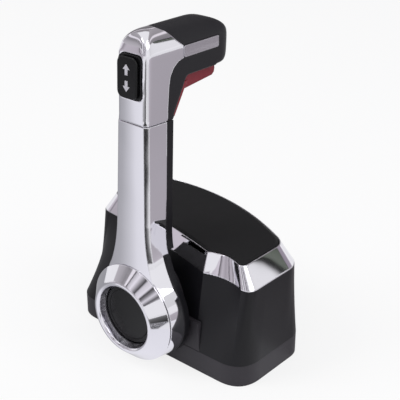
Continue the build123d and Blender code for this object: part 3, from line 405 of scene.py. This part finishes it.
# %% A handle with melted edges
skin_step = 0.0007
parting = [(-0.05307, 0.2111), (-0.0526, 0.222), (-0.0512, 0.237), (-0.0496, 0.245), (-0.0460, 0.2508),
           (-0.0406, 0.2548), (-0.0340, 0.2566), (-0.0340, 0.2656), (-0.0406, 0.2710), (-0.0470, 0.2780),
           (-0.0570, 0.2840)]
head_corner = [(-0.100, 0.300), (-0.100, 0.2132)]
grip_corner = [(0.060, 0.300), (0.060, 0.2060)]
plate_room = [(-0.0371, 0.2432), (-0.0370, 0.2378), (-0.0519, 0.2106), (-0.0519, 0.2050), (-0.0274, 0.2050),
              (-0.0274, 0.2432)]
paddle_room = [(0.0079, 0.2280), (-0.0366, 0.2280), (-0.0366, 0.2481), (0.0079, 0.2481)]
leg_room = [(-0.0300, 0.2260), (-0.0440, 0.2040), (-0.0694, 0.2040), (-0.0694, 0.2216), (-0.0526, 0.2216),
            (-0.0386, 0.2472), (-0.0300, 0.2472)]
paddle_room_half, leg_room_half = 0.0108, 0.0043
rooms = ((plate_room, plate_half_width + plate_gap), (paddle_room, paddle_room_half),
         (leg_room, leg_room_half))
cutter_half_width = 0.04
seam_end = 0.1632
pocket_half, pocket_depth, pocket_end = 0.0124, -0.060, 0.2150
strip_depth, strip_ends, strip_sides = 0.0125, (-0.038, 0.0085), (0.2545, 0.2680)
room_half = 0.0112
gusset_room_top, gusset_room_front = 0.2425, -0.0705
grip_room_top, grip_room_ends = 0.2500, (-0.045, 0.010)
crown_height, crown_rear = 0.2660, 0.004
edge_turns, crown_turns = 18, 70


def crisp(place):
    """Says whether a point of the handle keeps its edges."""
    reach = (place - Vector((0, 0, pivot_height))) @ Vector(up_the_arm)
    aside = abs(place.x)
    near_seam = reach < seam_end
    near_pocket = place.y < pocket_depth and aside < pocket_half and reach < pocket_end
    near_strip = (aside > strip_depth and strip_ends[0] < place.y < strip_ends[1]
                  and strip_sides[0] < place.z < strip_sides[1])
    in_gusset = aside < room_half and place.z < gusset_room_top and place.y > gusset_room_front
    in_grip = (aside < room_half and place.z < grip_room_top
               and grip_room_ends[0] < place.y < grip_room_ends[1])
    return near_seam or near_pocket or near_strip or in_gusset or in_grip


def cutter_of(name, corners, half_width):
    """An object to cut the skin with."""
    shape = side_view(corners, half_width)
    mesh = bpy.data.meshes.new(name)
    shape.to_mesh(mesh)
    shape.free()
    cutter = bpy.data.objects.new(name, mesh)
    bpy.context.collection.objects.link(cutter)
    return cutter


def settled(thing):
    """The mesh of an object with its modifiers applied."""
    bpy.context.view_layer.update()
    ready = thing.evaluated_get(bpy.context.evaluated_depsgraph_get())
    return bpy.data.meshes.new_from_object(ready)


joined = bmesh.new()
for name in ("handle_head", "grip"):
    joined.from_mesh(nodes[name].data)
bmesh.ops.remove_doubles(joined, verts=joined.verts, dist=0.00001)
blank_mesh = bpy.data.meshes.new("handle_blank")
joined.to_mesh(blank_mesh)
joined.free()
blank = bpy.data.objects.new("handle_blank", blank_mesh)
bpy.context.collection.objects.link(blank)
rebuild = blank.modifiers.new("skin", "REMESH")
rebuild.mode = "VOXEL"
rebuild.voxel_size = skin_step
skin = bmesh.new()
skin.from_mesh(settled(blank))
loose = [v for v in skin.verts if not crisp(v.co)]
crown = [v for v in loose if v.co.z > crown_height or v.co.y > crown_rear]
for verts, turns in ((loose, edge_turns), (crown, crown_turns)):
    for turn in range(turns):
        bmesh.ops.smooth_vert(skin, verts=verts, factor=0.5, use_axis_x=True, use_axis_y=True,
                              use_axis_z=True)
blank.modifiers.clear()
skin.to_mesh(blank_mesh)
skin.free()
for name, node, corners in (("handle_head_skin", "handle_head", head_corner),
                            ("grip_skin", "grip", grip_corner)):
    cutters = [(cutter_of(name + "_keep", parting + corners, cutter_half_width), "INTERSECT")]
    for corners_of_room, half_width in rooms:
        cutters.append((cutter_of(name + "_room", corners_of_room, half_width), "DIFFERENCE"))
    for cutter, operation in cutters:
        cut = blank.modifiers.new(operation.lower(), "BOOLEAN")
        cut.operation = operation
        cut.solver = "EXACT"
        cut.object = cutter
    mesh = settled(blank)
    blank.modifiers.clear()
    for cutter, operation in cutters:
        bpy.data.objects.remove(cutter)
    mesh.materials.clear()
    mesh.materials.append(finishes[slot_of_node[node]])
    mesh.polygons.foreach_set("use_smooth", [True] * len(mesh.polygons))
    mesh.set_sharp_from_angle(angle=math.radians(38))
    piece = bpy.data.objects.new(name, mesh)
    bpy.context.collection.objects.link(piece)
    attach(piece, "lever")
    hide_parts(node)
    print(name, len(mesh.polygons), "faces")
bpy.data.objects.remove(blank)

# %% [markdown]
# ## Floor and light
#
# The control stands on a pale floor under a soft overhead light.  Polished metal shows
# what surrounds it, so the studio has cards: glowing sheets with painted bands of light
# and dark that only reflections see, which put painted reflections on the plating.

# %% Floor and light
def sheet(name, centre, width, height, facing, material):
    """A flat stage sheet that faces a point."""
    shape = bmesh.new()
    bmesh.ops.create_grid(shape, x_segments=1, y_segments=1, size=0.5)
    turn = (Vector(facing) - Vector(centre)).to_track_quat("Z", "Y").to_matrix().to_4x4()
    place = Matrix.Translation(centre) @ turn @ Matrix.Diagonal((width, height, 1, 1))
    bmesh.ops.transform(shape, matrix=place, verts=shape.verts)
    mesh = bpy.data.meshes.new(name)
    shape.to_mesh(mesh)
    shape.free()
    mesh.materials.append(material)
    made = bpy.data.objects.new(name, mesh)
    bpy.context.collection.objects.link(made)
    return made


def seen_directly(tree):
    """Is 1 where the camera or a mirror looks, and 0 where light is gathered."""
    path = tree.nodes.new("ShaderNodeLightPath")
    either = tree.nodes.new("ShaderNodeMath")
    either.operation = "MAXIMUM"
    tree.links.new(path.outputs["Is Camera Ray"], either.inputs[0])
    tree.links.new(path.outputs["Is Glossy Ray"], either.inputs[1])
    return either.outputs["Value"]


def pale_where_seen(material, shader, share):
    """Mixes plain white into what the camera and mirrors see of a stage surface."""
    tree = material.node_tree
    amount = tree.nodes.new("ShaderNodeMath")
    amount.operation = "MULTIPLY"
    amount.inputs[1].default_value = share
    white = tree.nodes.new("ShaderNodeEmission")
    mixer = tree.nodes.new("ShaderNodeMixShader")
    tree.links.new(seen_directly(tree), amount.inputs[0])
    tree.links.new(amount.outputs["Value"], mixer.inputs["Fac"])
    tree.links.new(shader.outputs["BSDF"], mixer.inputs[1])
    tree.links.new(white.outputs["Emission"], mixer.inputs[2])
    tree.links.new(mixer.outputs["Shader"], tree.nodes["Material Output"].inputs["Surface"])


floor_size = 14
white_share = 0.80
floor_finish, floor_shader = new_finish("studio_floor", (0.93, 0.93, 0.935), 0.9)
floor_shader.inputs["Specular IOR Level"].default_value = 0.0
pale_where_seen(floor_finish, floor_shader, white_share)
sheet("studio_floor", (0, 0, 0), floor_size, floor_size, (0, 0, 1), floor_finish)

world = bpy.data.worlds.new("studio")
bpy.context.scene.world = world
world.use_nodes = True
world_tree = world.node_tree
background = world_tree.nodes["Background"]
background.inputs["Color"].default_value = (0.97, 0.97, 1.0, 1)
background.inputs["Strength"].default_value = 0.62
pale = world_tree.nodes.new("ShaderNodeBackground")
pale.inputs["Color"].default_value = (1, 1, 1, 1)
pale.inputs["Strength"].default_value = 1.0
mixer = world_tree.nodes.new("ShaderNodeMixShader")
world_tree.links.new(seen_directly(world_tree), mixer.inputs["Fac"])
world_tree.links.new(background.outputs["Background"], mixer.inputs[1])
world_tree.links.new(pale.outputs["Background"], mixer.inputs[2])
world_tree.links.new(mixer.outputs["Shader"], world_tree.nodes["World Output"].inputs["Surface"])


def soft_lamp(name, centre, size, power, target=(0, 0, 0.12)):
    """A square soft light aimed at the control."""
    data = bpy.data.lights.new(name, "AREA")
    data.size = size
    data.energy = power
    lamp = bpy.data.objects.new(name, data)
    lamp.location = centre
    lamp.rotation_mode = "QUATERNION"
    lamp.rotation_quaternion = (Vector(target) - Vector(centre)).to_track_quat("-Z", "Y")
    bpy.context.collection.objects.link(lamp)
    return lamp


soft_lamp("key_light", (-0.9, -1.3, 1.7), 1.0, 16)
soft_lamp("fill_light", (1.4, 0.2, 1.5), 1.2, 9)

# %% [markdown]
# ## What the plating mirrors
#
# A mirror with only white round it looks like white paint.  Here glowing cards, which are
# no lamps, carry painted bands of grey, dark and bright, placed so that the plating's faces
# differ and its edges read: what the plating shows of them are painted reflections.  These
# cards show only in reflections: the camera, the floor and the shadows don't know them.

# %% Reflection cards
def shaded_card(name, across, stops):
    """A card material whose colour runs across it: stops are (place in metres, colour)."""
    material = bpy.data.materials.new(name)
    material.use_nodes = True
    tree = material.node_tree
    tree.nodes.clear()
    place = tree.nodes.new("ShaderNodeTexCoord")
    along = tree.nodes.new("ShaderNodeVectorMath")
    along.operation = "DOT_PRODUCT"
    along.inputs[1].default_value = across
    first, last = stops[0][0], stops[-1][0]
    fit = tree.nodes.new("ShaderNodeMapRange")
    fit.inputs["From Min"].default_value = first
    fit.inputs["From Max"].default_value = last
    ramp = tree.nodes.new("ShaderNodeValToRGB")
    while len(ramp.color_ramp.elements) < len(stops):
        ramp.color_ramp.elements.new(0.5)
    for element, (where, colour) in zip(ramp.color_ramp.elements, stops):
        element.position = (where - first) / (last - first)
        element.color = (*colour, 1)
    glow = tree.nodes.new("ShaderNodeEmission")
    out = tree.nodes.new("ShaderNodeOutputMaterial")
    tree.links.new(place.outputs["Object"], along.inputs[0])
    tree.links.new(along.outputs["Value"], fit.inputs["Value"])
    tree.links.new(fit.outputs["Result"], ramp.inputs["Fac"])
    tree.links.new(ramp.outputs["Color"], glow.inputs["Color"])
    tree.links.new(glow.outputs["Emission"], out.inputs["Surface"])
    return material


def reflection_card(name, centre, width, height, facing, across, stops, tint=(1, 1, 1)):
    """A card that only reflections see.  A stop is a place with a brightness, times the tint, or a colour."""
    coloured = [(where, level if isinstance(level, tuple) else tuple(level * channel for channel in tint))
                for where, level in stops]
    card = sheet(name, centre, width, height, facing, shaded_card(name, across, coloured))
    card.visible_camera = False
    card.visible_diffuse = False
    card.visible_transmission = False
    card.visible_shadow = False
    return card


# Low cards lie just over the floor, where the upright faces of the lever look.
card_height = 0.001
# Each card's stops are painted light and dark bands that the plating shows as painted reflections.
reflection_card("arm_card", (-0.75, -0.85, card_height), 1.9, 1.9, (-0.75, -0.85, 1), (0.710, -0.704, 0),
                [(-0.10, 0.40), (0.036, 0.42), (0.050, 0.52), (0.060, 0.72), (0.068, 0.93), (0.080, 1.0),
                 (0.30, 0.9)], (0.96, 0.96, 1.0))
reflection_card("side_card", (0.60, 0.56, card_height), 1.1, 1.1, (0.60, 0.56, 1), (0.755, -0.656, 0),
                [(-0.6, 0.38), (0.0, 0.44), (0.6, 0.60)], (1.0, 0.94, 1.0))
reflection_card("edge_card", (0.56, -0.43, card_height), 0.9, 0.84, (0.56, -0.43, 1), (0.594, 0.804, 0),
                [(-0.30, 0.45), (-0.090, 0.10), (-0.0600, 0.02), (-0.0588, 0.95), (-0.03, 1.0), (0.2, 0.8)])
# High cards stand round the studio, where the sloping faces of the trim and the hub look.
reflection_card("trim_card", (-0.50, -1.0, 0.30), 1.7, 0.46, (0, -0.04, 0.1), (0.894, -0.447, 0),
                [(-0.60, 0.7), (-0.42, 0.32), (-0.30, 0.60), (-0.22, 0.50), (-0.16, 0.10), (-0.14, 0.55),
                 (0.02, 0.46), (0.16, 0.62), (0.26, 0.36), (0.30, 0.08), (0.34, 0.8), (0.7, 0.5)],
                (1.0, 0.93, 1.0))
reflection_card("streak_card", (-0.05, -0.85, 0.82), 2.4, 0.62, (0, -0.05, 0.06), (1, 0, 0),
                [(-1.2, 0.8), (-0.80, 0.35), (-0.66, 0.95), (-0.54, 0.22), (-0.47, 0.05), (-0.40, 0.62),
                 (-0.24, 0.95), (-0.06, 0.30), (0.02, 0.05), (0.08, 0.75), (0.26, 0.95), (0.32, 0.06),
                 (0.42, 0.30), (0.52, 0.85), (0.66, 0.12), (0.80, 0.7), (1.2, 0.8)], (0.98, 0.95, 1.0))
reflection_card("aft_card", (0.72, 0.78, 0.55), 1.2, 0.5, (0.08, 0, 0.1), (0.8, -0.6, 0),
                [(-0.60, (0.5, 0.46, 0.52)), (0.070, (0.34, 0.30, 0.35)), (0.076, (0.01, 0.01, 0.01)),
                 (0.092, (0.01, 0.01, 0.01)), (0.096, (0.13, 0.15, 0.12)), (0.122, (0.18, 0.20, 0.17)),
                 (0.124, (0.01, 0.01, 0.01)), (0.138, (0.02, 0.02, 0.02)), (0.144, (0.95, 0.95, 0.95)),
                 (0.70, (0.8, 0.8, 0.8))])
reflection_card("far_card", (-0.80, 0.78, 0.85), 1.9, 1.4, (0, 0, 0.2), (0, 0, 1),
                [(0.1, 0.75), (0.34, 0.42), (0.60, 0.26), (0.90, 0.20), (1.06, 0.24), (1.09, 0.9),
                 (1.15, 0.9), (1.18, 0.30), (1.6, 0.4)], (1.0, 0.95, 0.98))
reflection_card("arch_card", (0.32, 0.88, 0.92), 1.3, 0.95, (0, 0, 0.25), (0, 0, 1),
                [(0.50, 0.42), (0.72, 0.34), (0.86, 0.28), (0.98, 0.34), (1.01, 0.95), (1.06, 0.95),
                 (1.09, 0.36), (1.35, 0.5)], (1.0, 0.95, 0.98))
reflection_card("front_card", (-0.72, -0.50, 0.80), 0.9, 0.7, (0, -0.05, 0.25), (0, 0, 1),
                [(0.45, 0.62), (0.66, 0.48), (0.78, 0.30), (0.84, 0.34), (0.86, 0.95), (0.92, 0.95),
                 (0.94, 0.4), (1.15, 0.55)], (1.0, 0.96, 1.0))
